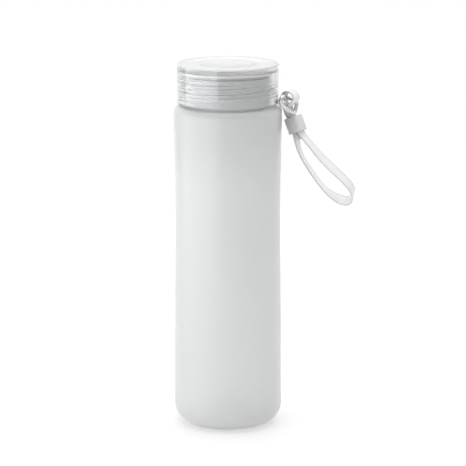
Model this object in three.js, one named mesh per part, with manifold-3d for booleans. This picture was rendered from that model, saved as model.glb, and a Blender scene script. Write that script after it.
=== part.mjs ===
// Glass water bottle: frosted glass body, clear screw cap with liner and gasket,
// metal ring in the cap's ear, and a ribbon hand strap held by a slotted clasp.
// Millimetres, +Z up, origin at the middle of the base. The strap is on the +X side.
import * as THREE from 'three';
import { mergeVertices } from 'three/addons/utils/BufferGeometryUtils.js';
import Module from 'manifold-3d';

const wasm = await Module();
wasm.setup();

// ---- driving dimensions ----
const FACETS = 60;
const GAP = 0.3;

const BASE_PUSH_UP = 1.2;
const BASE_RING_INNER = 17;
const BASE_SLOPE = 3;
const HEEL_RADIUS = 12;
const BODY_OUTLINE = [[33.3, 12], [32.85, 80], [32.3, 125], [32.6, 165], [33.1, 195.4]];
const SHOULDER_FILLET = 4.9;
const WALL = 2.7;
const FLOOR = 5;

const NECK_RADIUS = 26;
const NECK_BORE = 23;
const NECK_FOOT_Z = 200.3;
const RIM_Z = 218.2;
const RIM_ROUND = 1.4;
const MOUTH_ROUND = 1;

const THREAD_LEAD = 5.4;
const THREAD_ROOT_WIDTH = 2;
const THREAD_CREST_WIDTH = 1.5;
const THREAD_FADE = 0.09;
const THREAD_EMBED = 0.4;
const THREAD_SINK = 0.1;
const THREAD_STEPS = 36;
// start is the place round the axis, in turns from +X, and z the height there.
const NECK_THREAD = { root: NECK_RADIUS, crest: 27.8, start: 0, z: 204.85, turns: 1.9 };

const CAP_RADIUS = 31;
const CAP_BOTTOM_Z = 201.6;
const CAP_TOP_Z = 225.4;
const CAP_PLATE = 4.2;
const CAP_EDGE = 1.3;
const CAP_LIP = 0.3;
const SKIRT_BORE = 28.5;
const GROOVE = { inner: 17, outer: 19.7, depth: 0.5 };
const CAP_THREAD = { root: SKIRT_BORE, crest: 27.3, start: 0.3, z: 203.7, turns: 2.6 };

const GASKET = { inner: 23.2, outer: 26.2, height: 1 };
const LINER = { radius: 28, height: 1.1 };

const EAR = { angle: -15.1, reach: 33.04, width: 5.8, z: 202.15, height: 1.7, hole: 1.75, overlap: 1.2 };
const EAR_HOLE_REACH = EAR.reach + 0.15;

const WIRE_RADIUS = 1.25;
const RING_TURN = 50;
const RING_CORNER = 2.6;
const RING_CENTRES = [[2.6, 203], [12.2, 196.9], [13.2, 200]];

const RIBBON = { width: 6.2, thickness: 0.8, steps: 80 };
const CLASP = { centre: [41.4, 3.75, 186.9], stack: 9.8, width: 8.2, length: 10, corner: 1.6 };
const CLASP_DOWN = [0.331, -0.207, -0.921];
const CLASP_ACROSS = [0.625, 0.777, 0.05];
const SLOT = { pitch: 2.1, thickness: 1.5, width: 6.9 };

// The ribbon's middle line, each point with the direction of the ribbon's width:
// tail, clasp, small loop over the ring, clasp, big loop, and its end in the clasp.
const RIBBON_ROUTE = [
  [[44.9, 1.2, 178.3], [0.6, 0.79, 0.05]],
  [[43.1, 2.7, 182.3], [0.62, 0.78, 0.05]],
  [[41.4, 3.75, 186.9], [0.62, 0.78, 0.05]],
  [[40.1, 4.55, 190.6], [0.62, 0.78, 0.05]],
  [[39.3, 4.8, 192.7], [0.62, 0.78, 0.05]],
  [[37.9, 3.2, 195.6], [0.63, 0.77, 0.1]],
  [[37.4, 1.4, 198], [0.64, 0.77, 0]],
  [[38.3, -0.5, 200.1], [0.64, 0.77, 0]],
  [[40.1, -2.6, 201.9], [0.64, 0.77, 0]],
  [[41.4, -4.1, 204.4], [0.64, 0.77, 0]],
  [[40.4, -3.7, 207], [0.64, 0.77, 0]],
  [[38, -2, 208.3], [0.64, 0.77, 0]],
  [[35.5, 0.1, 207.3], [0.64, 0.77, 0]],
  [[34.3, 1.4, 204.6], [0.64, 0.77, 0.05]],
  [[34.7, 2.3, 201], [0.64, 0.76, 0.15]],
  [[35.9, 3.7, 197], [0.63, 0.76, 0.15]],
  [[37.1, 5.6, 193.4], [0.62, 0.77, 0.1]],
  [[38.3, 6, 190.7], [0.62, 0.78, 0.05]],
  [[39.9, 5, 186.1], [0.62, 0.78, 0.05]],
  [[41.4, 4.1, 182], [0.62, 0.78, 0.05]],
  [[42.1, 3.6, 179], [0.58, 0.81, 0.05]],
  [[43.4, 3.6, 172.6], [0.38, 0.92, 0.05]],
  [[46.2, 4, 165.8], [0.3, 0.95, 0.05]],
  [[50.4, 4.6, 158.9], [0.33, 0.94, 0.08]],
  [[55, 5, 152.2], [0.33, 0.93, 0.15]],
  [[59.6, 5, 146.6], [0.25, 0.91, 0.33]],
  [[64.6, 4.6, 142.4], [0.12, 0.75, 0.65]],
  [[69.8, 3.5, 139.8], [0.05, 0.55, 0.84]],
  [[73.8, 1, 139.7], [0.1, 0.48, 0.87]],
  [[76.4, -2, 142.2], [0.2, 0.5, 0.84]],
  [[76.6, -5, 146.3], [0.3, 0.61, 0.74]],
  [[74.7, -7, 150.4], [0.42, 0.68, 0.6]],
  [[71.2, -7, 154.4], [0.5, 0.7, 0.51]],
  [[64.8, -6, 160.4], [0.55, 0.7, 0.46]],
  [[57.6, -4, 167.3], [0.5, 0.77, 0.39]],
  [[51.4, -1.5, 174.2], [0.45, 0.86, 0.25]],
  [[47.4, 0.2, 178.8], [0.56, 0.82, 0.1]],
  [[45.1, 1.2, 181.8], [0.62, 0.78, 0.05]],
  [[42.9, 2.5, 187.7], [0.62, 0.78, 0.05]],
  [[41.9, 3.1, 190.5], [0.62, 0.78, 0.05]],
];

// ---- helpers ----
const UP = new THREE.Vector3(0, 0, 1);
const radians = THREE.MathUtils.degToRad;
const vector = (xyz) => new THREE.Vector3(...xyz);

function arc(x, z, radius, from, to, steps) {
  const points = [];
  for (let i = 0; i <= steps; i += 1) {
    const angle = radians(from + ((to - from) * i) / steps);
    points.push([x + radius * Math.cos(angle), z + radius * Math.sin(angle)]);
  }
  return points;
}

// Turns an [r, z] outline about the Z axis.
function turned(outline) {
  const profile = outline.map(([r, z]) => new THREE.Vector2(r, z));
  return new THREE.LatheGeometry(profile, FACETS).rotateX(Math.PI / 2);
}

function closedRing(inner, outer, bottom, top) {
  return turned([[inner, bottom], [outer, bottom], [outer, top], [inner, top], [inner, bottom]]);
}

function disc(radius, bottom, top) {
  return turned([[0, bottom], [radius, bottom], [radius, top], [0, top]]);
}

function solid(geometry) {
  const bare = geometry.clone();
  bare.deleteAttribute('normal');
  bare.deleteAttribute('uv');
  const merged = mergeVertices(bare, 1e-4);
  const mesh = new wasm.Mesh({
    numProp: 3,
    vertProperties: new Float32Array(merged.attributes.position.array),
    triVerts: new Uint32Array(merged.index.array),
  });
  return new wasm.Manifold(mesh);
}

function geometryOf(manifold) {
  const mesh = manifold.getMesh();
  const geometry = new THREE.BufferGeometry();
  geometry.setAttribute('position', new THREE.BufferAttribute(mesh.vertProperties, 3));
  geometry.setIndex(new THREE.BufferAttribute(mesh.triVerts, 1));
  geometry.computeVertexNormals();
  return geometry;
}

// A curve that says which way the swept section's y axis points along it.
class GuidedCurve extends THREE.Curve {
  computeFrenetFrames(segments) {
    const frames = { tangents: [], normals: [], binormals: [] };
    for (let i = 0; i <= segments; i += 1) {
      const u = i / segments;
      const tangent = this.getTangentAt(u);
      const across = this.across(this.getUtoTmapping(u));
      across.addScaledVector(tangent, -across.dot(tangent)).normalize();
      frames.tangents.push(tangent);
      frames.binormals.push(across);
      frames.normals.push(across.clone().cross(tangent));
    }
    return frames;
  }
}

// A thread's path: its radius slides by `sink` at both ends, so the ridge fades into the wall.
class ThreadPath extends GuidedCurve {
  constructor(thread, sink) {
    super();
    Object.assign(this, { thread, sink });
  }

  getPoint(t) {
    const fade = Math.max(0, 1 - Math.min(t, 1 - t) / THREAD_FADE);
    const radius = this.thread.root + this.sink * fade;
    const angle = 2 * Math.PI * (this.thread.start + this.thread.turns * t);
    const z = this.thread.z + THREAD_LEAD * this.thread.turns * t;
    return new THREE.Vector3(radius * Math.cos(angle), radius * Math.sin(angle), z);
  }

  across() {
    return UP.clone().negate();
  }
}

class RibbonPath extends GuidedCurve {
  constructor(route) {
    super();
    this.line = new THREE.CatmullRomCurve3(route.map(([point]) => vector(point)), false, 'centripetal');
    this.lean = new THREE.CatmullRomCurve3(route.map(([, width]) => vector(width)), false, 'centripetal');
    this.arcLengthDivisions = 1000;
  }

  getPoint(t) {
    return this.line.getPoint(t);
  }

  across(t) {
    return this.lean.getPoint(t);
  }
}

function sweep(section, path, steps) {
  const shape = new THREE.Shape(section.map(([x, y]) => new THREE.Vector2(x, y)));
  return new THREE.ExtrudeGeometry(shape, { steps, extrudePath: path, bevelEnabled: false });
}

// A thread ridge standing on its root radius, towards its crest radius.
function threadRidge(thread) {
  const height = thread.crest - thread.root;
  const foot = -THREAD_EMBED * Math.sign(height);
  const section = [
    [foot, -THREAD_ROOT_WIDTH / 2],
    [height, -THREAD_CREST_WIDTH / 2],
    [height, THREAD_CREST_WIDTH / 2],
    [foot, THREAD_ROOT_WIDTH / 2],
  ];
  if (height < 0) section.reverse();
  const sink = -(height + THREAD_SINK * Math.sign(height));
  return sweep(section, new ThreadPath(thread, sink), Math.round(thread.turns * THREAD_STEPS));
}

// ---- sub-parts ----
function bodyCurve(samples, inset) {
  const curve = new THREE.SplineCurve(BODY_OUTLINE.map(([r, z]) => new THREE.Vector2(r, z)));
  return curve.getPoints(samples).map(({ x, y }) => [x - inset, y]);
}

function glassBottle() {
  const [heelR, heelZ] = BODY_OUTLINE[0];
  const [topR, topZ] = BODY_OUTLINE[BODY_OUTLINE.length - 1];
  const innerHeel = HEEL_RADIUS - WALL;
  const innerTop = topZ - 1;
  const innerFillet = NECK_FOOT_Z - WALL - innerTop;
  const outer = [
    [0, BASE_PUSH_UP],
    [BASE_RING_INNER - BASE_SLOPE, BASE_PUSH_UP],
    [BASE_RING_INNER, 0],
    ...arc(heelR - HEEL_RADIUS, heelZ, HEEL_RADIUS, -90, 0, 7),
    ...bodyCurve(9, 0).slice(1, -1),
    ...arc(topR - SHOULDER_FILLET, topZ, SHOULDER_FILLET, 0, 90, 6),
    [NECK_RADIUS, NECK_FOOT_Z],
    ...arc(NECK_RADIUS - RIM_ROUND, RIM_Z - RIM_ROUND, RIM_ROUND, 0, 90, 4),
  ];
  const inner = [
    ...arc(NECK_BORE + MOUTH_ROUND, RIM_Z - MOUTH_ROUND, MOUTH_ROUND, 90, 180, 3),
    [NECK_BORE, NECK_FOOT_Z - WALL],
    ...arc(topR - WALL - innerFillet, innerTop, innerFillet, 90, 0, 4),
    ...bodyCurve(6, WALL).slice(1, -1).reverse(),
    ...arc(heelR - HEEL_RADIUS, FLOOR + innerHeel, innerHeel, 0, -90, 5),
    [0, FLOOR],
  ];
  const vessel = solid(turned([...outer, ...inner]));
  return geometryOf(vessel.add(solid(threadRidge(NECK_THREAD))));
}

function ear() {
  const tip = new THREE.CylinderGeometry(EAR.width / 2, EAR.width / 2, EAR.height, 28).rotateX(Math.PI / 2);
  const root = new THREE.BoxGeometry(EAR.reach - CAP_RADIUS + EAR.overlap, EAR.width, EAR.height);
  const hole = new THREE.CylinderGeometry(EAR.hole, EAR.hole, EAR.height * 2, 24).rotateX(Math.PI / 2);
  tip.translate(EAR.reach, 0, 0);
  root.translate((EAR.reach + CAP_RADIUS - EAR.overlap) / 2, 0, 0);
  hole.translate(EAR_HOLE_REACH, 0, 0);
  const place = new THREE.Matrix4().makeRotationZ(radians(EAR.angle));
  place.setPosition(0, 0, EAR.z + EAR.height / 2);
  const [tab, stem, bore] = [tip, root, hole].map((geometry) => solid(geometry.applyMatrix4(place)));
  return tab.add(stem).subtract(bore);
}

function capShell() {
  const underside = CAP_TOP_Z - CAP_PLATE;
  const shell = turned([
    [0, underside],
    [SKIRT_BORE, underside],
    [SKIRT_BORE, CAP_BOTTOM_Z],
    [CAP_RADIUS - CAP_LIP, CAP_BOTTOM_Z],
    [CAP_RADIUS, CAP_BOTTOM_Z + CAP_LIP],
    ...arc(CAP_RADIUS - CAP_EDGE, CAP_TOP_Z - CAP_EDGE, CAP_EDGE, 0, 90, 4),
    [GROOVE.outer, CAP_TOP_Z],
    [GROOVE.outer - GROOVE.depth, CAP_TOP_Z - GROOVE.depth],
    [GROOVE.inner + GROOVE.depth, CAP_TOP_Z - GROOVE.depth],
    [GROOVE.inner, CAP_TOP_Z],
    [0, CAP_TOP_Z],
  ]);
  return geometryOf(solid(shell).add(solid(threadRidge(CAP_THREAD))).add(ear()));
}

function sealGasket() {
  const bottom = RIM_Z + GAP;
  return closedRing(GASKET.inner, GASKET.outer, bottom, bottom + GASKET.height);
}

function capLiner() {
  const top = CAP_TOP_Z - CAP_PLATE - GAP;
  return disc(LINER.radius, top - LINER.height, top);
}

// The ring's middle line: a triangle with rounded corners, in the ring's own plane.
function ringOutline() {
  const outline = new THREE.Path();
  const centres = RING_CENTRES.map(([x, z]) => new THREE.Vector2(x, z));
  centres.forEach((centre, i) => {
    const before = centre.clone().sub(centres[(i + centres.length - 1) % centres.length]);
    const after = centres[(i + 1) % centres.length].clone().sub(centre);
    const start = before.angle() - Math.PI / 2;
    const end = after.angle() - Math.PI / 2;
    outline.absarc(centre.x, centre.y, RING_CORNER, start, end, false);
  });
  outline.closePath();
  return outline;
}

function strapRing() {
  const outline = ringOutline();
  const along = vector([Math.cos(radians(RING_TURN)), Math.sin(radians(RING_TURN)), 0]);
  const axis = along.clone().cross(UP);
  const pivot = vector([EAR.reach, 0, 0]).applyAxisAngle(UP, radians(EAR.angle));
  const geometry = new THREE.TorusGeometry(2, 1, 10, 64);
  const { position, uv } = geometry.attributes;
  for (let i = 0; i < position.count; i += 1) {
    const u = uv.getX(i) % 1;
    const turn = 2 * Math.PI * uv.getY(i);
    const middle = outline.getPointAt(u);
    const tangent = outline.getTangentAt(u);
    const x = middle.x + WIRE_RADIUS * Math.cos(turn) * tangent.y;
    const z = middle.y - WIRE_RADIUS * Math.cos(turn) * tangent.x;
    const point = pivot.clone().addScaledVector(along, x).addScaledVector(UP, z);
    point.addScaledVector(axis, WIRE_RADIUS * Math.sin(turn));
    position.setXYZ(i, point.x, point.y, point.z);
  }
  return geometry;
}

function strapRibbon() {
  const x = RIBBON.thickness / 2;
  const y = RIBBON.width / 2;
  const round = RIBBON.thickness / 4;
  const section = [
    [x, round - y], [x, y - round], [x - round, y], [round - x, y],
    [-x, y - round], [-x, round - y], [round - x, -y], [x - round, -y],
  ];
  return sweep(section, new RibbonPath(RIBBON_ROUTE), RIBBON.steps);
}

function strapClasp() {
  const down = vector(CLASP_DOWN).normalize();
  const stack = down.clone().cross(vector(CLASP_ACROSS)).normalize();
  const across = stack.clone().cross(down);
  const x = CLASP.stack / 2;
  const y = CLASP.width / 2;
  const c = CLASP.corner;
  const corners = [
    [x, c - y], [x, y - c], [x - c, y], [c - x, y],
    [-x, y - c], [-x, c - y], [c - x, -y], [x - c, -y],
  ];
  const shape = new THREE.Shape(corners.map(([s, w]) => new THREE.Vector2(s, w)));
  const block = new THREE.ExtrudeGeometry(shape, { depth: CLASP.length, bevelEnabled: false });
  block.translate(0, 0, -CLASP.length / 2);
  const slots = [-1, 0, 1].map((place) => {
    const slot = new THREE.BoxGeometry(SLOT.thickness, SLOT.width, CLASP.length * 2);
    return solid(slot.translate(place * SLOT.pitch, 0, 0));
  });
  const clasp = slots.reduce((body, slot) => body.subtract(slot), solid(block));
  const place = new THREE.Matrix4().makeBasis(stack, across, down.clone().negate());
  place.setPosition(...CLASP.centre);
  return geometryOf(clasp).applyMatrix4(place);
}

// ---- assembly ----
function part(name, geometry, look) {
  const mesh = new THREE.Mesh(geometry, new THREE.MeshStandardMaterial(look));
  mesh.name = name;
  return mesh;
}

const bottle = new THREE.Group();
bottle.add(
  part('glass_bottle', glassBottle(), { color: 0xdde0e2, roughness: 0.5, metalness: 0 }),
  part('cap_shell', capShell(), { color: 0xe6ebee, roughness: 0.05, metalness: 0 }),
  part('cap_liner', capLiner(), { color: 0xf6f6f4, roughness: 0.6, metalness: 0 }),
  part('seal_gasket', sealGasket(), { color: 0xe8e9e8, roughness: 0.7, metalness: 0 }),
  part('strap_ring', strapRing(), { color: 0xc8c9cb, roughness: 0.12, metalness: 1 }),
  part('strap_clasp', strapClasp(), { color: 0xc9c9c9, roughness: 0.4, metalness: 0.3 }),
  part('strap_ribbon', strapRibbon(), { color: 0xe2e2e2, roughness: 0.85, metalness: 0 }),
);

export default bottle;
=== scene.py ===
import math

import bmesh
import bpy
from mathutils import Matrix, Vector


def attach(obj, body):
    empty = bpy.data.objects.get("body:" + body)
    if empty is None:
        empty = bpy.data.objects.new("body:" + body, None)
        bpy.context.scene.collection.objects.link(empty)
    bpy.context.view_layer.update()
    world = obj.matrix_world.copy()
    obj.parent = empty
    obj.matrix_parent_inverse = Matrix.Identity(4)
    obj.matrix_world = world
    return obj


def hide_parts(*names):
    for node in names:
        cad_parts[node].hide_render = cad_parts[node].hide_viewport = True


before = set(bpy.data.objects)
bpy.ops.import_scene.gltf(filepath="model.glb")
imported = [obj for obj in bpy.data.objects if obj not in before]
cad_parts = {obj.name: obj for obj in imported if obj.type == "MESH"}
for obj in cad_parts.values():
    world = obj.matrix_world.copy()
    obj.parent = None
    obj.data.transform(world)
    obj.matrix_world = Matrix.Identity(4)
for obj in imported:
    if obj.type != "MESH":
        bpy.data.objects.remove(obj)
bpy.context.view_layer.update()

MM = 0.001
SEGMENTS = 192

# ---- the CAD's driving dimensions and the finer edges, in millimetres ----
BASE_PUSH_UP = 1.2
BASE_RING_INNER = 17
BASE_FLAT = 7
BASE_FLANK = [(-3.6, 1.2), (-2.4, 1), (-1, 0.32), (0, 0.03), (1.2, 0)]  # past BASE_RING_INNER, height
HEEL_RADIUS = 12
BODY_OUTLINE = [(33.3, 12), (32.85, 80), (32.3, 125), (32.6, 165), (33.1, 195.4)]
SHOULDER_FILLET = 4.9
WALL = 2.7
FLOOR = 5
NECK_RADIUS = 26
NECK_BORE = 23
NECK_FOOT_Z = 200.3
RIM_Z = 218.2
RIM_ROUND = 1.4
MOUTH_ROUND = 1
NECK_FOOT_FLANK = [(1.2, 0), (0.45, 0.12), (0.12, 0.45)]  # out from the neck, above its foot
BORE_FOOT_FLANK = [(0, 0.8), (0.25, 0.22), (0.9, 0)]  # out from the bore, above the shoulder's inside
THREAD_LEAD = 5.4
THREAD_ROOT_WIDTH = 2
THREAD_CREST_WIDTH = 1.5
THREAD_FADE = 0.09
NECK_THREAD = {"height": 1.8, "start": 0, "z": 204.85, "turns": 1.9}
CAP_RADIUS = 31
CAP_BOTTOM_Z = 201.6
CAP_TOP_Z = 225.4
CAP_PLATE = 4.2
CAP_EDGE = 1.3
SKIRT_BORE = 28.5
CAP_LIP, SKIRT_CORNER = 0.3, 0.35
GROOVE_INNER, GROOVE_OUTER, GROOVE_DEPTH = 17, 19.7, 0.5
GROOVE_FLANK = [(-0.15, 0), (0.1, 0.1), (0.4, GROOVE_DEPTH - 0.08), (0.6, GROOVE_DEPTH)]  # inwards, down
CAP_THREAD = {"height": -1.2, "start": 0.3, "z": 203.7, "turns": 2.6}
GAP = 0.3
GASKET_INNER, GASKET_OUTER, GASKET_HEIGHT, GASKET_EDGE = 23.2, 26.2, 1, 0.35
LINER_RADIUS, LINER_HEIGHT, LINER_EDGE = 28, 1.1, 0.25
EAR = {"angle": -15.1, "reach": 33.04, "width": 5.8, "z": 202.15, "height": 1.7, "overlap": 1.2, "edge": 0.3}
EAR_HOLE = {"radius": 1.75, "reach": 33.19, "sides": 32}
WIRE_RADIUS, WIRE_SIDES = 1.25, 28
RING_TURN = 50
RING_CORNER = 2.6
RING_CENTRES = [(2.6, 203), (12.2, 196.9), (13.2, 200)]
RING_CORNER_STEPS, RING_STEP = 14, 0.5
RIBBON_WIDTH, RIBBON_THICKNESS = 6.2, 0.8
CLASP_CENTRE = (41.4, 3.75, 186.9)
CLASP_STACK, CLASP_WIDTH, CLASP_LENGTH, CLASP_CORNER, CLASP_EDGE = 9.8, 8.2, 10, 1.6, 0.55
CLASP_DOWN = (0.331, -0.207, -0.921)
CLASP_ACROSS = (0.625, 0.777, 0.05)
SLOT_PITCH, SLOT_THICKNESS, SLOT_WIDTH = 2.1, 1.5, 6.9

# ---- looks, in metres ----
# Heights over which painted shade makes the frosted glass darker towards the shoulder.
SHOULDER_SHADE_FROM, SHOULDER_SHADE_TO = 0.155, 0.182
# Heights over which painted light makes the frosted glass lighter right under the clear cap.
UNDER_CAP_LIGHT_FROM, UNDER_CAP_LIGHT_TO = (NECK_FOOT_Z - 0.6) * MM, (NECK_FOOT_Z - 0.05) * MM
RIB_PITCH, WARP_PITCH, TWILL_PITCH = 0.00062, 0.00042, 0.00124
SELVEDGE_FROM, SELVEDGE_TO = 0.00222, 0.00262
FLOOR_RADIUS = 0.8
LAMP_AIM_Z = 0.15

# The ribbon's middle line, each point with the direction of its width.
RIBBON_ROUTE = [
    ((44.9, 1.2, 178.3), (0.6, 0.79, 0.05)),
    ((43.1, 2.7, 182.3), (0.62, 0.78, 0.05)),
    ((41.4, 3.75, 186.9), (0.62, 0.78, 0.05)),
    ((40.1, 4.55, 190.6), (0.62, 0.78, 0.05)),
    ((39.3, 4.8, 192.7), (0.62, 0.78, 0.05)),
    ((37.9, 3.2, 195.6), (0.63, 0.77, 0.1)),
    ((37.4, 1.4, 198), (0.64, 0.77, 0)),
    ((38.3, -0.5, 200.1), (0.64, 0.77, 0)),
    ((40.1, -2.6, 201.9), (0.64, 0.77, 0)),
    ((41.4, -4.1, 204.4), (0.64, 0.77, 0)),
    ((40.4, -3.7, 207), (0.64, 0.77, 0)),
    ((38, -2, 208.3), (0.64, 0.77, 0)),
    ((35.5, 0.1, 207.3), (0.64, 0.77, 0)),
    ((34.3, 1.4, 204.6), (0.64, 0.77, 0.05)),
    ((34.7, 2.3, 201), (0.64, 0.76, 0.15)),
    ((35.9, 3.7, 197), (0.63, 0.76, 0.15)),
    ((37.1, 5.6, 193.4), (0.62, 0.77, 0.1)),
    ((38.3, 6, 190.7), (0.62, 0.78, 0.05)),
    ((39.9, 5, 186.1), (0.62, 0.78, 0.05)),
    ((41.4, 4.1, 182), (0.62, 0.78, 0.05)),
    ((42.1, 3.6, 179), (0.58, 0.81, 0.05)),
    ((43.4, 3.6, 172.6), (0.38, 0.92, 0.05)),
    ((46.2, 4, 165.8), (0.3, 0.95, 0.05)),
    ((50.4, 4.6, 158.9), (0.33, 0.94, 0.08)),
    ((55, 5, 152.2), (0.33, 0.93, 0.15)),
    ((59.6, 5, 146.6), (0.25, 0.91, 0.33)),
    ((64.6, 4.6, 142.4), (0.12, 0.75, 0.65)),
    ((69.8, 3.5, 139.8), (0.05, 0.55, 0.84)),
    ((73.8, 1, 139.7), (0.1, 0.48, 0.87)),
    ((76.4, -2, 142.2), (0.2, 0.5, 0.84)),
    ((76.6, -5, 146.3), (0.3, 0.61, 0.74)),
    ((74.7, -7, 150.4), (0.42, 0.68, 0.6)),
    ((71.2, -7, 154.4), (0.5, 0.7, 0.51)),
    ((64.8, -6, 160.4), (0.55, 0.7, 0.46)),
    ((57.6, -4, 167.3), (0.5, 0.77, 0.39)),
    ((51.4, -1.5, 174.2), (0.45, 0.86, 0.25)),
    ((47.4, 0.2, 178.8), (0.56, 0.82, 0.1)),
    ((45.1, 1.2, 181.8), (0.62, 0.78, 0.05)),
    ((42.9, 2.5, 187.7), (0.62, 0.78, 0.05)),
    ((41.9, 3.1, 190.5), (0.62, 0.78, 0.05)),
]
ROUTE_STEPS = 12


# ---- shader nodes ----
class Shader:
    """A Principled material with short calls for the nodes that feed it."""

    def __init__(self, name, **values):
        self.material = bpy.data.materials.new(name)
        self.material.use_nodes = True
        self.tree = self.material.node_tree
        self.surface = self.tree.nodes["Principled BSDF"]
        for socket, value in values.items():
            self.surface.inputs[socket.replace("_", " ")].default_value = value

    def node(self, kind, inputs=None, **settings):
        node = self.tree.nodes.new("ShaderNode" + kind)
        for name, value in settings.items():
            setattr(node, name, value)
        for socket, value in (inputs or {}).items():
            if isinstance(value, bpy.types.NodeSocket):
                self.tree.links.new(value, node.inputs[socket])
            else:
                node.inputs[socket].default_value = value
        return node

    def feed(self, socket, output):
        self.tree.links.new(output, self.surface.inputs[socket])

    def place(self, stretch=(1, 1, 1)):
        """Object coordinates in metres, stretched along each axis."""
        where = self.node("TexCoord").outputs["Object"]
        return self.node("Mapping", {"Vector": where, "Scale": stretch}).outputs["Vector"]

    def height(self):
        """Height above the object's own origin, in metres."""
        return self.node("SeparateXYZ", {"Vector": self.place()}).outputs["Z"]

    def noise(self, scale, detail=3.0, roughness=0.5, stretch=(1, 1, 1)):
        inputs = {"Vector": self.place(stretch), "Scale": scale, "Detail": detail, "Roughness": roughness}
        return self.node("TexNoise", inputs).outputs["Fac"]

    def stored(self, name):
        return self.node("Attribute", attribute_name=name).outputs["Fac"]

    def math(self, operation, a, b=0.0, c=0.0):
        return self.node("Math", {0: a, 1: b, 2: c}, operation=operation).outputs[0]

    def spread(self, value, low, high, start=0.3, stop=0.7):
        inputs = {"Value": value, "From Min": start, "From Max": stop, "To Min": low, "To Max": high}
        return self.node("MapRange", inputs).outputs["Result"]

    def ramp(self, value, *stops):
        node = self.node("ValToRGB", {"Fac": value})
        elements = node.color_ramp.elements
        while len(elements) < len(stops):
            elements.new(0.5)
        for element, (position, colour) in zip(elements, stops):
            element.position, element.color = position, (*colour, 1)
        return node.outputs["Color"]

    def mixed(self, blend, factor, a, b):
        """Two colours blended. Each is an output or an RGBA value."""
        node = self.node("Mix", {"Factor": factor}, data_type="RGBA", blend_type=blend)
        for socket, value in (("A", a), ("B", b)):
            colour = next(i for i in node.inputs if i.name == socket and i.type == "RGBA")
            if isinstance(value, bpy.types.NodeSocket):
                self.tree.links.new(value, colour)
            else:
                colour.default_value = value
        return next(o for o in node.outputs if o.name == "Result" and o.type == "RGBA")

    def bump(self, height, distance, strength=1.0, normal=None):
        inputs = {"Height": height, "Distance": distance, "Strength": strength}
        if normal:
            inputs["Normal"] = normal
        return self.node("Bump", inputs).outputs["Normal"]


def frosted_glass():
    """Satin outside, with painted shade making it a little darker towards the shoulder and painted light
    making it lighter right under the clear cap.
    """
    s = Shader("frosted_glass", IOR=1.5, Transmission_Weight=0.5, Coat_Weight=0.9, Coat_Roughness=0.3)
    patches = s.noise(9, 4, stretch=(1, 1, 0.4))
    cloud = s.ramp(patches, (0.3, (0.791, 0.796, 0.798)), (0.7, (0.821, 0.825, 0.827)))
    # Painted shade: the glass is made a tenth darker towards the shoulder, by height.
    shoulder_shade_mask = s.spread(s.height(), 0.0, 1.0, SHOULDER_SHADE_FROM, SHOULDER_SHADE_TO)
    # Painted light: the glass is made lighter right under the clear cap, by height.
    under_cap_light_mask = s.spread(s.height(), 0.0, 1.0, UNDER_CAP_LIGHT_FROM, UNDER_CAP_LIGHT_TO)
    darker = s.mixed("MULTIPLY", shoulder_shade_mask, cloud, (0.9, 0.9, 0.9, 1))
    s.feed("Base Color", s.mixed("MIX", under_cap_light_mask, darker, (0.95, 0.955, 0.96, 1)))
    s.feed("Roughness", s.spread(s.noise(60, 5, 0.6), 0.42, 0.5))
    etch = s.noise(2600, 4, 0.65)
    s.feed("Normal", s.bump(etch, 0.00003, 0.5))
    return s.material


def inner_glass():
    s = Shader("inner_glass", IOR=1.5, Transmission_Weight=1.0)
    s.feed("Base Color", s.ramp(s.noise(12), (0.3, (0.948, 0.95, 0.95)), (0.7, (0.972, 0.974, 0.974))))
    s.feed("Roughness", s.spread(s.noise(40), 0.04, 0.09))
    s.feed("Normal", s.bump(s.noise(45, 2), 0.0002, 0.4))
    return s.material


def neck_glass():
    s = Shader("neck_glass", IOR=1.5, Transmission_Weight=0.3)
    s.feed("Base Color", s.ramp(s.noise(14), (0.3, (0.735, 0.74, 0.742)), (0.7, (0.765, 0.77, 0.772))))
    s.feed("Roughness", s.spread(s.noise(70, 4), 0.3, 0.36))
    s.feed("Normal", s.bump(s.noise(700, 3), 0.00003, 0.5))
    return s.material


def clear_cap(name="clear_cap", smoothest=0.05, roughest=0.1):
    s = Shader(name, IOR=1.49, Transmission_Weight=1.0)
    s.feed("Base Color", s.ramp(s.noise(11), (0.3, (0.965, 0.972, 0.976)), (0.7, (0.98, 0.984, 0.987))))
    s.feed("Roughness", s.spread(s.noise(180, 5, 0.65), smoothest, roughest))
    s.feed("Normal", s.bump(s.noise(60, 2), 0.00015, 0.35))
    return s.material


def cap_top():
    s = Shader("cap_top", IOR=1.49, Transmission_Weight=0.5)
    s.feed("Base Color", s.ramp(s.noise(40, 4), (0.3, (0.84, 0.843, 0.845)), (0.7, (0.87, 0.872, 0.874))))
    s.feed("Roughness", s.spread(s.noise(300, 4), 0.3, 0.4))
    s.feed("Normal", s.bump(s.noise(1500, 3), 0.00002, 0.5))
    return s.material


def white_liner():
    s = Shader("white_liner", IOR=1.5)
    s.feed("Base Color", s.ramp(s.noise(70, 4), (0.3, (0.84, 0.842, 0.84)), (0.7, (0.88, 0.88, 0.878))))
    s.feed("Roughness", s.spread(s.noise(500, 3), 0.38, 0.52))
    s.feed("Normal", s.bump(s.noise(900, 3), 0.00004, 0.5))
    return s.material


def silicone():
    s = Shader("seal", IOR=1.41, Transmission_Weight=0.25)
    s.feed("Base Color", s.ramp(s.noise(90, 3), (0.3, (0.78, 0.79, 0.79)), (0.7, (0.84, 0.845, 0.845))))
    s.feed("Roughness", s.spread(s.noise(600, 3), 0.42, 0.6))
    s.feed("Normal", s.bump(s.noise(1200, 3), 0.00004, 0.5))
    return s.material


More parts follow.
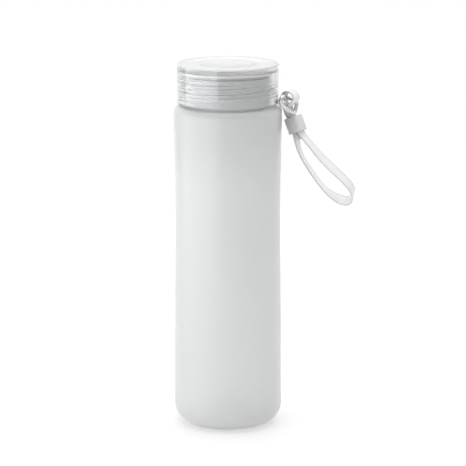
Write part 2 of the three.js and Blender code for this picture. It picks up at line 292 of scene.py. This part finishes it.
def ring_metal():
    s = Shader("ring_metal", Metallic=1.0)
    s.feed("Base Color", s.ramp(s.noise(160, 4), (0.3, (0.60, 0.60, 0.61)), (0.7, (0.72, 0.72, 0.73))))
    s.feed("Roughness", s.spread(s.noise(900, 5, 0.7, stretch=(1, 1, 0.25)), 0.07, 0.2))
    s.feed("Normal", s.bump(s.noise(1500, 4, stretch=(1, 1, 0.3)), 0.00002, 0.35))
    return s.material


def clasp_metal():
    s = Shader("clasp_metal", Metallic=0.0, IOR=1.5)
    s.feed("Base Color", s.ramp(s.noise(240, 4), (0.3, (0.62, 0.62, 0.62)), (0.7, (0.67, 0.67, 0.67))))
    s.feed("Roughness", s.spread(s.noise(1100, 4, 0.6), 0.34, 0.46))
    s.feed("Normal", s.bump(s.noise(2400, 3), 0.00002, 0.6))
    return s.material


def ribbon_cloth():
    s = Shader("ribbon", IOR=1.45, Sheen_Weight=0.25, Sheen_Roughness=0.5, Transmission_Weight=0.0)
    along, across = s.stored("along"), s.stored("across")
    rib = s.math("SINE", s.math("MULTIPLY", along, 2 * math.pi / RIB_PITCH))
    warp = s.math("SINE", s.math("MULTIPLY", across, 2 * math.pi / WARP_PITCH))
    sideways = s.math("MULTIPLY", across, math.pi / WARP_PITCH)
    twill = s.math("SINE", s.math("MULTIPLY_ADD", along, 2 * math.pi / TWILL_PITCH, sideways))
    ribbed_twill = s.math("MULTIPLY_ADD", twill, 0.2, s.math("MULTIPLY", rib, 0.55))
    weave = s.math("MULTIPLY_ADD", warp, 0.25, ribbed_twill)
    height = s.spread(weave, 0.0, 1.0, -1.0, 1.0)
    # Painted shade: the ribbon is made about a fifth darker from its channel out over the rounded edge.
    selvedge = s.spread(s.math("ABSOLUTE", across), 1.0, 0.78, SELVEDGE_FROM, SELVEDGE_TO)
    tone = s.ramp(s.noise(140, 4), (0.3, (0.84, 0.842, 0.844)), (0.7, (0.88, 0.882, 0.884)))
    # Painted shade: a tenth darker in the weave's hollows, times the painted shade at the edge.
    shade = s.math("MULTIPLY", selvedge, s.spread(height, 0.9, 1.0, 0.0, 1.0))
    s.feed("Base Color", s.mixed("MULTIPLY", 1.0, tone, shade))
    s.feed("Roughness", s.spread(height, 0.85, 0.7, 0.0, 1.0))
    s.feed("Normal", s.bump(height, 0.00012, 0.8))
    return s.material


# ---- mesh helpers ----
def finished(bm, name, sharp=65):
    """The mesh with smooth shading, broken at edges steeper than `sharp` degrees."""
    bmesh.ops.remove_doubles(bm, verts=bm.verts, dist=1e-7)
    bmesh.ops.recalc_face_normals(bm, faces=bm.faces)
    for face in bm.faces:
        face.smooth = True
    for edge in bm.edges:
        edge.smooth = edge.is_manifold and edge.calc_face_angle(0) < math.radians(sharp)
    mesh = bpy.data.meshes.new(name)
    bm.to_mesh(mesh)
    bm.free()
    return mesh


def made(name, mesh, *materials):
    obj = bpy.data.objects.new(name, mesh)
    bpy.context.scene.collection.objects.link(obj)
    for material in materials:
        mesh.materials.append(material)
    return obj


def settled(obj, body, slot, *nodes):
    """Hands a finished piece to its CAD body, in place of its CAD nodes."""
    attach(obj, body)
    if nodes:
        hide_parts(*nodes)
    return obj


def arc(r, z, radius, start, stop, steps):
    angles = [math.radians(start + (stop - start) * i / steps) for i in range(steps + 1)]
    return [(r + radius * math.cos(a), z + radius * math.sin(a)) for a in angles]


def smooth(x):
    x = min(1.0, max(0.0, x))
    return x * x * (3 - 2 * x)


def thread_rise(thread, angle, z):
    """How far a thread's ridge stands out of its wall at this place."""
    best = 0.0
    turn = (angle / (2 * math.pi) - thread["start"]) % 1
    while turn <= thread["turns"]:
        off = abs(z - thread["z"] - THREAD_LEAD * turn)
        flank = smooth((THREAD_ROOT_WIDTH / 2 - off) / ((THREAD_ROOT_WIDTH - THREAD_CREST_WIDTH) / 2))
        fade = smooth(min(turn, thread["turns"] - turn) / (THREAD_FADE * thread["turns"]))
        best = max(best, flank * fade)
        turn += 1
    return best * thread["height"]


def column(r, z_from, z_to, step=0.08):
    count = max(1, round(abs(z_to - z_from) / step))
    return [(r, z_from + (z_to - z_from) * i / count) for i in range(count + 1)]


def turned(outline, look, name, thread=None, rows=()):
    """A solid of revolution. `look` gives each row's material, `rows` the rows that carry the thread."""
    bm = bmesh.new()
    rings = []
    for i, (r, z) in enumerate(outline):
        if r < 1e-6:
            rings.append([bm.verts.new((0, 0, z * MM))])
            continue
        ring = []
        for k in range(SEGMENTS):
            a = 2 * math.pi * k / SEGMENTS
            out = r + (thread_rise(thread, a, z) if i in rows else 0)
            ring.append(bm.verts.new((out * MM * math.cos(a), out * MM * math.sin(a), z * MM)))
        rings.append(ring)
    closed = len(rings[0]) > 1
    for i in range(len(rings) if closed else len(rings) - 1):
        low, high = rings[i], rings[(i + 1) % len(rings)]
        for k in range(SEGMENTS):
            n = (k + 1) % SEGMENTS
            corners = [low[k % len(low)], low[n % len(low)], high[n % len(high)], high[k % len(high)]]
            face = bm.faces.new(list(dict.fromkeys(corners)))
            face.material_index = look(i)
    return finished(bm, name)


def swept(name, stations, section, cap_ends=True, facts=None):
    """Sweeps a section of (out, across) points through (point, out, across, along) stations."""
    bm = bmesh.new()
    layers = {fact: bm.verts.layers.float.new(fact) for fact in ("along", "across")} if facts else {}
    rings = []
    for point, out, across, along in stations:
        ring = []
        for x, y in section:
            vert = bm.verts.new((point + out * x + across * y) * MM)
            if layers:
                vert[layers["along"]], vert[layers["across"]] = along * MM, y * MM
            ring.append(vert)
        rings.append(ring)
    count = len(section)
    pairs = list(zip(rings, rings[1:])) if cap_ends else list(zip(rings, rings[1:] + rings[:1]))
    for low, high in pairs:
        for k in range(count):
            n = (k + 1) % count
            bm.faces.new((low[k], low[n], high[n], high[k]))
    if cap_ends:
        bm.faces.new(rings[0])
        bm.faces.new(rings[-1])
    return finished(bm, name, 60)


def catmull(points, i, t):
    """A point of a centripetal Catmull-Rom curve, t of the way from point i to the next."""
    p1, p2 = points[i], points[i + 1]
    p0 = points[i - 1] if i > 0 else p1 * 2 - p2
    p3 = points[i + 2] if i + 2 < len(points) else p2 * 2 - p1
    d0, d1, d2 = ((b - a).length ** 0.5 or 1.0 for a, b in ((p0, p1), (p1, p2), (p2, p3)))
    d0, d2 = (d if d > 1e-4 else d1 for d in (d0, d2))
    m1 = ((p1 - p0) / d0 - (p2 - p0) / (d0 + d1) + (p2 - p1) / d1) * d1
    m2 = ((p2 - p1) / d1 - (p3 - p1) / (d1 + d2) + (p3 - p2) / d2) * d1
    return p1 + m1 * t + (-3 * p1 + 3 * p2 - 2 * m1 - m2) * t * t + (2 * p1 - 2 * p2 + m1 + m2) * t**3


# ---- camera ----
CAMERA_PLACE = (0, -1.305, 0.412)
CAMERA_PITCH = math.radians(12.63)
CAMERA_YAW = 0.0024
CAMERA_LENS = 167.33

camera = bpy.data.objects.new("camera", bpy.data.cameras.new("camera"))
bpy.context.scene.collection.objects.link(camera)
camera.location = CAMERA_PLACE
camera.rotation_euler = (math.pi / 2 - CAMERA_PITCH, 0, -CAMERA_YAW)
camera.data.lens = CAMERA_LENS
camera.data.sensor_width = 36
camera.data.clip_start, camera.data.clip_end = 0.05, 60
bpy.context.scene.camera = camera


# ---- the ribbon ----
def ribbon_stations():
    places = [Vector(point) for point, _ in RIBBON_ROUTE]
    widths = [Vector(width) for _, width in RIBBON_ROUTE]
    line, lean = [], []
    for i in range(len(places) - 1):
        for k in range(ROUTE_STEPS):
            line.append(catmull(places, i, k / ROUTE_STEPS))
            lean.append(catmull(widths, i, k / ROUTE_STEPS))
    line.append(places[-1])
    lean.append(widths[-1])
    stations, along = [], 0.0
    for i, point in enumerate(line):
        tangent = (line[min(i + 1, len(line) - 1)] - line[max(i - 1, 0)]).normalized()
        across = (lean[i] - tangent * lean[i].dot(tangent)).normalized()
        along += (point - line[i - 1]).length if i else 0
        stations.append((point, across.cross(tangent), across, along))
    return stations


def ribbon_section():
    """One side: flat, with a shallow channel inside a rounded selvedge."""
    x, y = RIBBON_THICKNESS / 2, RIBBON_WIDTH / 2
    half = [(0.0, 0.9), (0.35, 0.9), (0.62, 0.9), (0.72, 0.88), (0.78, 0.8), (0.84, 0.86)]
    half += [(0.9, 1.0), (0.95, 0.97), (0.985, 0.7), (1.0, 0.25)]
    front = [(x * h, y * w) for w, h in half]
    front = [(h, -w) for h, w in reversed(front[1:])] + front
    return front + [(-h, w) for h, w in reversed(front)]


STATIONS = ribbon_stations()
ribbon = made("hand_strap", swept("hand_strap", STATIONS, ribbon_section(), facts=True), ribbon_cloth())
settled(ribbon, "strap", "ribbon", "strap_ribbon")


# ---- glass bottle ----
def spline(points, samples):
    """Samples of a uniform Catmull-Rom curve through (r, z) points."""
    out = []
    last = len(points) - 1
    for n in range(samples + 1):
        p = last * n / samples
        i = min(int(p), last - 1)
        t = p - i
        four = [points[min(max(k, 0), last)] for k in (i - 1, i, i + 1, i + 2)]
        pair = []
        for a, b, c, d in zip(*four):
            v0, v1 = (c - a) / 2, (d - b) / 2
            cubic, square = 2 * b - 2 * c + v0 + v1, -3 * b + 3 * c - 2 * v0 - v1
            pair.append(cubic * t**3 + square * t * t + v0 * t + b)
        out.append(tuple(pair))
    return out


def bottle_mesh():
    heel_r, heel_z = BODY_OUTLINE[0]
    top_r, top_z = BODY_OUTLINE[-1]
    inner_heel = HEEL_RADIUS - WALL
    inner_top = top_z - 1
    inside_z = NECK_FOOT_Z - WALL
    inner_fillet = inside_z - inner_top
    frosted = [(0, BASE_PUSH_UP), (BASE_FLAT, BASE_PUSH_UP)]
    frosted += [(BASE_RING_INNER + past, z) for past, z in BASE_FLANK]
    frosted += arc(heel_r - HEEL_RADIUS, heel_z, HEEL_RADIUS, -90, 0, 24)
    frosted += spline(BODY_OUTLINE, 48)[1:-1]
    frosted += arc(top_r - SHOULDER_FILLET, top_z, SHOULDER_FILLET, 0, 90, 18)
    foot = [(NECK_RADIUS + out, NECK_FOOT_Z + up) for out, up in NECK_FOOT_FLANK]
    frosted += foot[:-1]
    neck = foot[-1:] + column(NECK_RADIUS, NECK_FOOT_Z + 1, RIM_Z - RIM_ROUND)
    neck += arc(NECK_RADIUS - RIM_ROUND, RIM_Z - RIM_ROUND, RIM_ROUND, 0, 90, 10)[1:]
    inner = arc(NECK_BORE + MOUTH_ROUND, RIM_Z - MOUTH_ROUND, MOUTH_ROUND, 90, 180, 8)
    inner += [(NECK_BORE, NECK_FOOT_Z + 2)]
    inner += [(NECK_BORE + out, inside_z + up) for out, up in BORE_FOOT_FLANK]
    inner += arc(top_r - WALL - inner_fillet, inner_top, inner_fillet, 90, 0, 12)
    inner += [(r - WALL, z) for r, z in reversed(spline(BODY_OUTLINE, 30)[1:-1])]
    inner += arc(heel_r - HEEL_RADIUS, FLOOR + inner_heel, inner_heel, 0, -90, 18) + [(0, FLOOR)]
    neck_start, inner_start = len(frosted), len(frosted) + len(neck)

    def look(row):
        return 0 if row < neck_start - 1 else 1 if row < inner_start else 2

    return turned(frosted + neck + inner, look, "glass_body", NECK_THREAD, range(neck_start, inner_start))


bottle = made("glass_body", bottle_mesh(), frosted_glass(), neck_glass(), inner_glass())
settled(bottle, "bottle", "frosted_glass", "glass_bottle")


# ---- clear cap ----
def cap_mesh():
    underside = CAP_TOP_Z - CAP_PLATE
    ceiling = [(0, underside), (SKIRT_BORE - 8, underside), (SKIRT_BORE - SKIRT_CORNER, underside)]
    wall = column(SKIRT_BORE, underside - SKIRT_CORNER, CAP_BOTTOM_Z + CAP_LIP)
    lip = [(SKIRT_BORE + 0.1, CAP_BOTTOM_Z + 0.08), (SKIRT_BORE + SKIRT_CORNER, CAP_BOTTOM_Z)]
    lip += [(CAP_RADIUS - CAP_LIP - 0.1, CAP_BOTTOM_Z)]
    lip += arc(CAP_RADIUS - CAP_LIP, CAP_BOTTOM_Z + CAP_LIP, CAP_LIP, -70, 0, 4)
    top = arc(CAP_RADIUS - CAP_EDGE, CAP_TOP_Z - CAP_EDGE, CAP_EDGE, 0, 90, 12)
    top += [(GROOVE_OUTER - inward, CAP_TOP_Z - down) for inward, down in GROOVE_FLANK]
    top += [(GROOVE_INNER + inward, CAP_TOP_Z - down) for inward, down in reversed(GROOVE_FLANK)]
    top += [(8, CAP_TOP_Z), (0, CAP_TOP_Z)]
    wall_rows = range(len(ceiling), len(ceiling) + len(wall))
    milky_start = len(ceiling) + len(wall) + len(lip) + 2

    def look(row):
        return 1 if row >= milky_start else 2 if row in wall_rows else 0

    return turned(ceiling + wall + lip + top, look, "cap", CAP_THREAD, wall_rows)


def outline_prism(points, bottom, top, name, rounding):
    """A flat outline pulled up into a solid, its edges rounded over."""
    bm = bmesh.new()
    base = bm.faces.new([bm.verts.new((x * MM, y * MM, bottom * MM)) for x, y in points])
    pulled = bmesh.ops.extrude_face_region(bm, geom=[base])["geom"]
    verts = [v for v in pulled if isinstance(v, bmesh.types.BMVert)]
    bmesh.ops.translate(bm, verts=verts, vec=(0, 0, (top - bottom) * MM))
    if rounding:
        edges = [e for e in bm.edges if abs(e.verts[0].co.z - e.verts[1].co.z) < 1e-7]
        bmesh.ops.bevel(bm, geom=edges, offset=rounding * MM, segments=3, affect="EDGES", profile=0.5)
    return finished(bm, name)


def joined(obj, other, operation):
    """Applies a Boolean with another object, which is then removed."""
    modifier = obj.modifiers.new("cut", "BOOLEAN")
    modifier.operation, modifier.object, modifier.solver = operation, other, "EXACT"
    bpy.context.view_layer.update()
    result = obj.evaluated_get(bpy.context.evaluated_depsgraph_get())
    bm = bmesh.new()
    bm.from_mesh(result.to_mesh())
    result.to_mesh_clear()
    obj.modifiers.clear()
    bpy.data.objects.remove(other)
    materials = list(obj.data.materials)
    obj.data = finished(bm, obj.name)
    for material in materials:
        obj.data.materials.append(material)


def ear_solid():
    """The ear at the cap's right, with its hole, made along +X and then turned into place."""
    root, half, top = CAP_RADIUS - EAR["overlap"], EAR["width"] / 2, EAR["z"] + EAR["height"]
    outline = [(root, -half)] + arc(EAR["reach"], 0, half, -90, 90, 28) + [(root, half)]
    ear = made("ear", outline_prism(outline, EAR["z"], top, "ear", EAR["edge"]))
    sides = EAR_HOLE["sides"]
    outline = arc(EAR_HOLE["reach"], 0, EAR_HOLE["radius"], 0, 360 - 360 / sides, sides - 1)
    joined(ear, made("hole", outline_prism(outline, EAR["z"] - 2, top + 2, "hole", 0)), "DIFFERENCE")
    ear.data.transform(Matrix.Rotation(math.radians(EAR["angle"]), 4, "Z"))
    return ear


cap = made("clear_cap", cap_mesh(), clear_cap(), cap_top(), clear_cap("hazy_inside", 0.17, 0.24))
joined(cap, ear_solid(), "UNION")
settled(cap, "cap", "clear_cap", "cap_shell")


# ---- liner and gasket ----
def liner_mesh():
    top = CAP_TOP_Z - CAP_PLATE - GAP
    bottom = top - LINER_HEIGHT
    outline = [(0, bottom), (LINER_RADIUS - LINER_EDGE - 1, bottom)]
    outline += arc(LINER_RADIUS - LINER_EDGE, bottom + LINER_EDGE, LINER_EDGE, -90, 0, 5)
    outline += arc(LINER_RADIUS - LINER_EDGE, top - LINER_EDGE, LINER_EDGE, 0, 90, 5)
    outline += [(14, top), (0, top)]
    return turned(outline, lambda i: 0, "liner")


def gasket_mesh():
    bottom, edge = RIM_Z + GAP, GASKET_EDGE
    top = bottom + GASKET_HEIGHT
    outline = []
    for r, z, start in (
        (GASKET_INNER + edge, bottom + edge, 180),
        (GASKET_OUTER - edge, bottom + edge, 270),
        (GASKET_OUTER - edge, top - edge, 0),
        (GASKET_INNER + edge, top - edge, 90),
    ):
        outline += arc(r, z, edge, start, start + 90, 5)
    return turned(outline, lambda i: 0, "gasket")


liner = made("cap_liner_disc", liner_mesh(), white_liner())
settled(liner, "seal", "white_liner", "cap_liner")
gasket = made("gasket", gasket_mesh(), silicone())
settled(gasket, "seal", "seal", "seal_gasket")


# ---- metal ring ----
def ring_stations():
    """The ring's middle line: a triangle with rounded corners, in the ring's own upright plane."""
    pieces = []
    total = len(RING_CENTRES)
    for i, (x, z) in enumerate(RING_CENTRES):
        bx, bz = RING_CENTRES[i - 1]
        ax, az = RING_CENTRES[(i + 1) % total]
        start = math.atan2(z - bz, x - bx) - math.pi / 2
        turn = (math.atan2(az - z, ax - x) - math.pi / 2 - start) % (2 * math.pi)
        pieces += [(x, z, start + turn * k / RING_CORNER_STEPS) for k in range(RING_CORNER_STEPS + 1)]
    corners = [(x + RING_CORNER * math.cos(a), z + RING_CORNER * math.sin(a)) for x, z, a in pieces]
    along = Vector((math.cos(math.radians(RING_TURN)), math.sin(math.radians(RING_TURN)), 0))
    axis = along.cross(Vector((0, 0, 1)))
    turned_by = math.radians(EAR["angle"])
    pivot = Vector((math.cos(turned_by), math.sin(turned_by), 0)) * EAR["reach"]
    line = []
    for (x0, z0), (x1, z1) in zip(corners, corners[1:] + corners[:1]):
        steps = max(1, round(math.hypot(x1 - x0, z1 - z0) / RING_STEP))
        for k in range(steps):
            x, z = x0 + (x1 - x0) * k / steps, z0 + (z1 - z0) * k / steps
            line.append(pivot + along * x + Vector((0, 0, z)))
    stations = []
    for i, point in enumerate(line):
        tangent = (line[(i + 1) % len(line)] - line[i - 1]).normalized()
        stations.append((point, axis.cross(tangent), axis, 0.0))
    return stations


wire_angles = [2 * math.pi * k / WIRE_SIDES for k in range(WIRE_SIDES)]
wire = [(WIRE_RADIUS * math.cos(a), WIRE_RADIUS * math.sin(a)) for a in wire_angles]
ring = made("metal_ring", swept("metal_ring", ring_stations(), wire, cap_ends=False), ring_metal())
settled(ring, "ring", "ring_metal", "strap_ring")


# ---- clasp ----
def clasp_outline():
    x, y, c = CLASP_STACK / 2, CLASP_WIDTH / 2, CLASP_CORNER
    points = []
    for cx, cy, start in ((x - c, y - c, 0), (c - x, y - c, 90), (c - x, c - y, 180), (x - c, c - y, 270)):
        points += arc(cx, cy, c, start, start + 90, 5)
    return points


def clasp_place():
    down = Vector(CLASP_DOWN).normalized()
    stack = down.cross(Vector(CLASP_ACROSS)).normalized()
    across = stack.cross(down)
    place = Matrix((stack, across, -down)).transposed().to_4x4()
    place.translation = Vector(CLASP_CENTRE) * MM
    return place


half_length, half_x, half_y = CLASP_LENGTH / 2, SLOT_THICKNESS / 2, SLOT_WIDTH / 2
block = outline_prism(clasp_outline(), -half_length, half_length, "clasp", CLASP_EDGE)
clasp = made("clasp", block, clasp_metal())
for shift in (-SLOT_PITCH, 0, SLOT_PITCH):
    left, right = shift - half_x, shift + half_x
    corners = [(left, -half_y), (right, -half_y), (right, half_y), (left, half_y)]
    slot = made("slot", outline_prism(corners, -CLASP_LENGTH, CLASP_LENGTH, "slot", 0))
    joined(clasp, slot, "DIFFERENCE")
clasp.data.transform(clasp_place())
settled(clasp, "strap", "clasp_metal", "strap_clasp")


# ---- floor and light ----
def floor_material():
    s = Shader("floor", IOR=1.45, Emission_Color=(1, 1, 1, 1), Emission_Strength=0.45)
    s.feed("Base Color", s.ramp(s.noise(3), (0.3, (0.45, 0.45, 0.45)), (0.7, (0.46, 0.46, 0.46))))
    s.feed("Roughness", s.spread(s.noise(200), 0.55, 0.65))
    return s.material


bm = bmesh.new()
bmesh.ops.create_circle(bm, cap_ends=True, radius=FLOOR_RADIUS, segments=128)
made("floor", finished(bm, "floor"), floor_material())


def softbox(name, azimuth, elevation, distance, width, height, radiance, colour=(1, 1, 1)):
    """A rectangular lamp facing the bottle. Azimuth 0 is the camera's side, positive to its right."""
    lamp = bpy.data.lights.new(name, "AREA")
    lamp.shape, lamp.size, lamp.size_y = "RECTANGLE", width, height
    lamp.energy = radiance * math.pi * width * height
    lamp.color = colour
    obj = bpy.data.objects.new(name, lamp)
    bpy.context.scene.collection.objects.link(obj)
    a, e = math.radians(azimuth), math.radians(elevation)
    away = Vector((math.sin(a) * math.cos(e), -math.cos(a) * math.cos(e), math.sin(e)))
    obj.location = away * distance + Vector((0, 0, LAMP_AIM_Z))
    obj.rotation_mode = "QUATERNION"
    obj.rotation_quaternion = away.to_track_quat("Z", "Y")
    obj.visible_camera = False
    return obj


softbox("left_softbox", -66.5, -8, 1.15, 2.15, 1.0, 2.3, (0.97, 0.99, 1.0))
softbox("top_softbox", 0, 88, 1.5, 1.4, 1.4, 1.2)

# A faint lamp that only the cap sees, for the light band on its left.
cap_only = bpy.data.collections.new("cap_only")
cap_only.objects.link(cap)
glint = softbox("cap_softbox", -66.5, -6, 1.0, 1.87, 1.0, 0.45, (0.95, 0.98, 1.0))
glint.light_linking.receiver_collection = cap_only


def studio_world(front, back):
    """Bright behind the bottle and dimmer in front. The camera and rays through glass see plain white."""
    world = bpy.data.worlds.new("studio")
    bpy.context.scene.world = world
    world.use_nodes = True
    tree = world.node_tree
    new, link = tree.nodes.new, tree.links.new
    place, lean, turn = new("ShaderNodeTexCoord"), new("ShaderNodeVectorMath"), new("ShaderNodeMapRange")
    rays, seen, mixed = new("ShaderNodeLightPath"), new("ShaderNodeMath"), new("ShaderNodeMix")
    lean.operation = "DOT_PRODUCT"
    lean.inputs[1].default_value = (0, 0.75, 0.66)
    link(place.outputs["Generated"], lean.inputs[0])
    link(lean.outputs["Value"], turn.inputs["Value"])
    for socket, value in (("From Min", -0.3), ("From Max", 0.6), ("To Min", front), ("To Max", back)):
        turn.inputs[socket].default_value = value
    seen.operation = "MAXIMUM"
    link(rays.outputs["Is Camera Ray"], seen.inputs[0])
    link(rays.outputs["Is Transmission Ray"], seen.inputs[1])
    link(seen.outputs[0], mixed.inputs["Factor"])
    link(turn.outputs["Result"], mixed.inputs["A"])
    mixed.inputs["B"].default_value = 1.0
    tree.nodes["Background"].inputs["Color"].default_value = (1, 1, 1, 1)
    link(mixed.outputs["Result"], tree.nodes["Background"].inputs["Strength"])


studio_world(0.6, 1.25)
bpy.context.scene.view_settings.view_transform = "Standard"
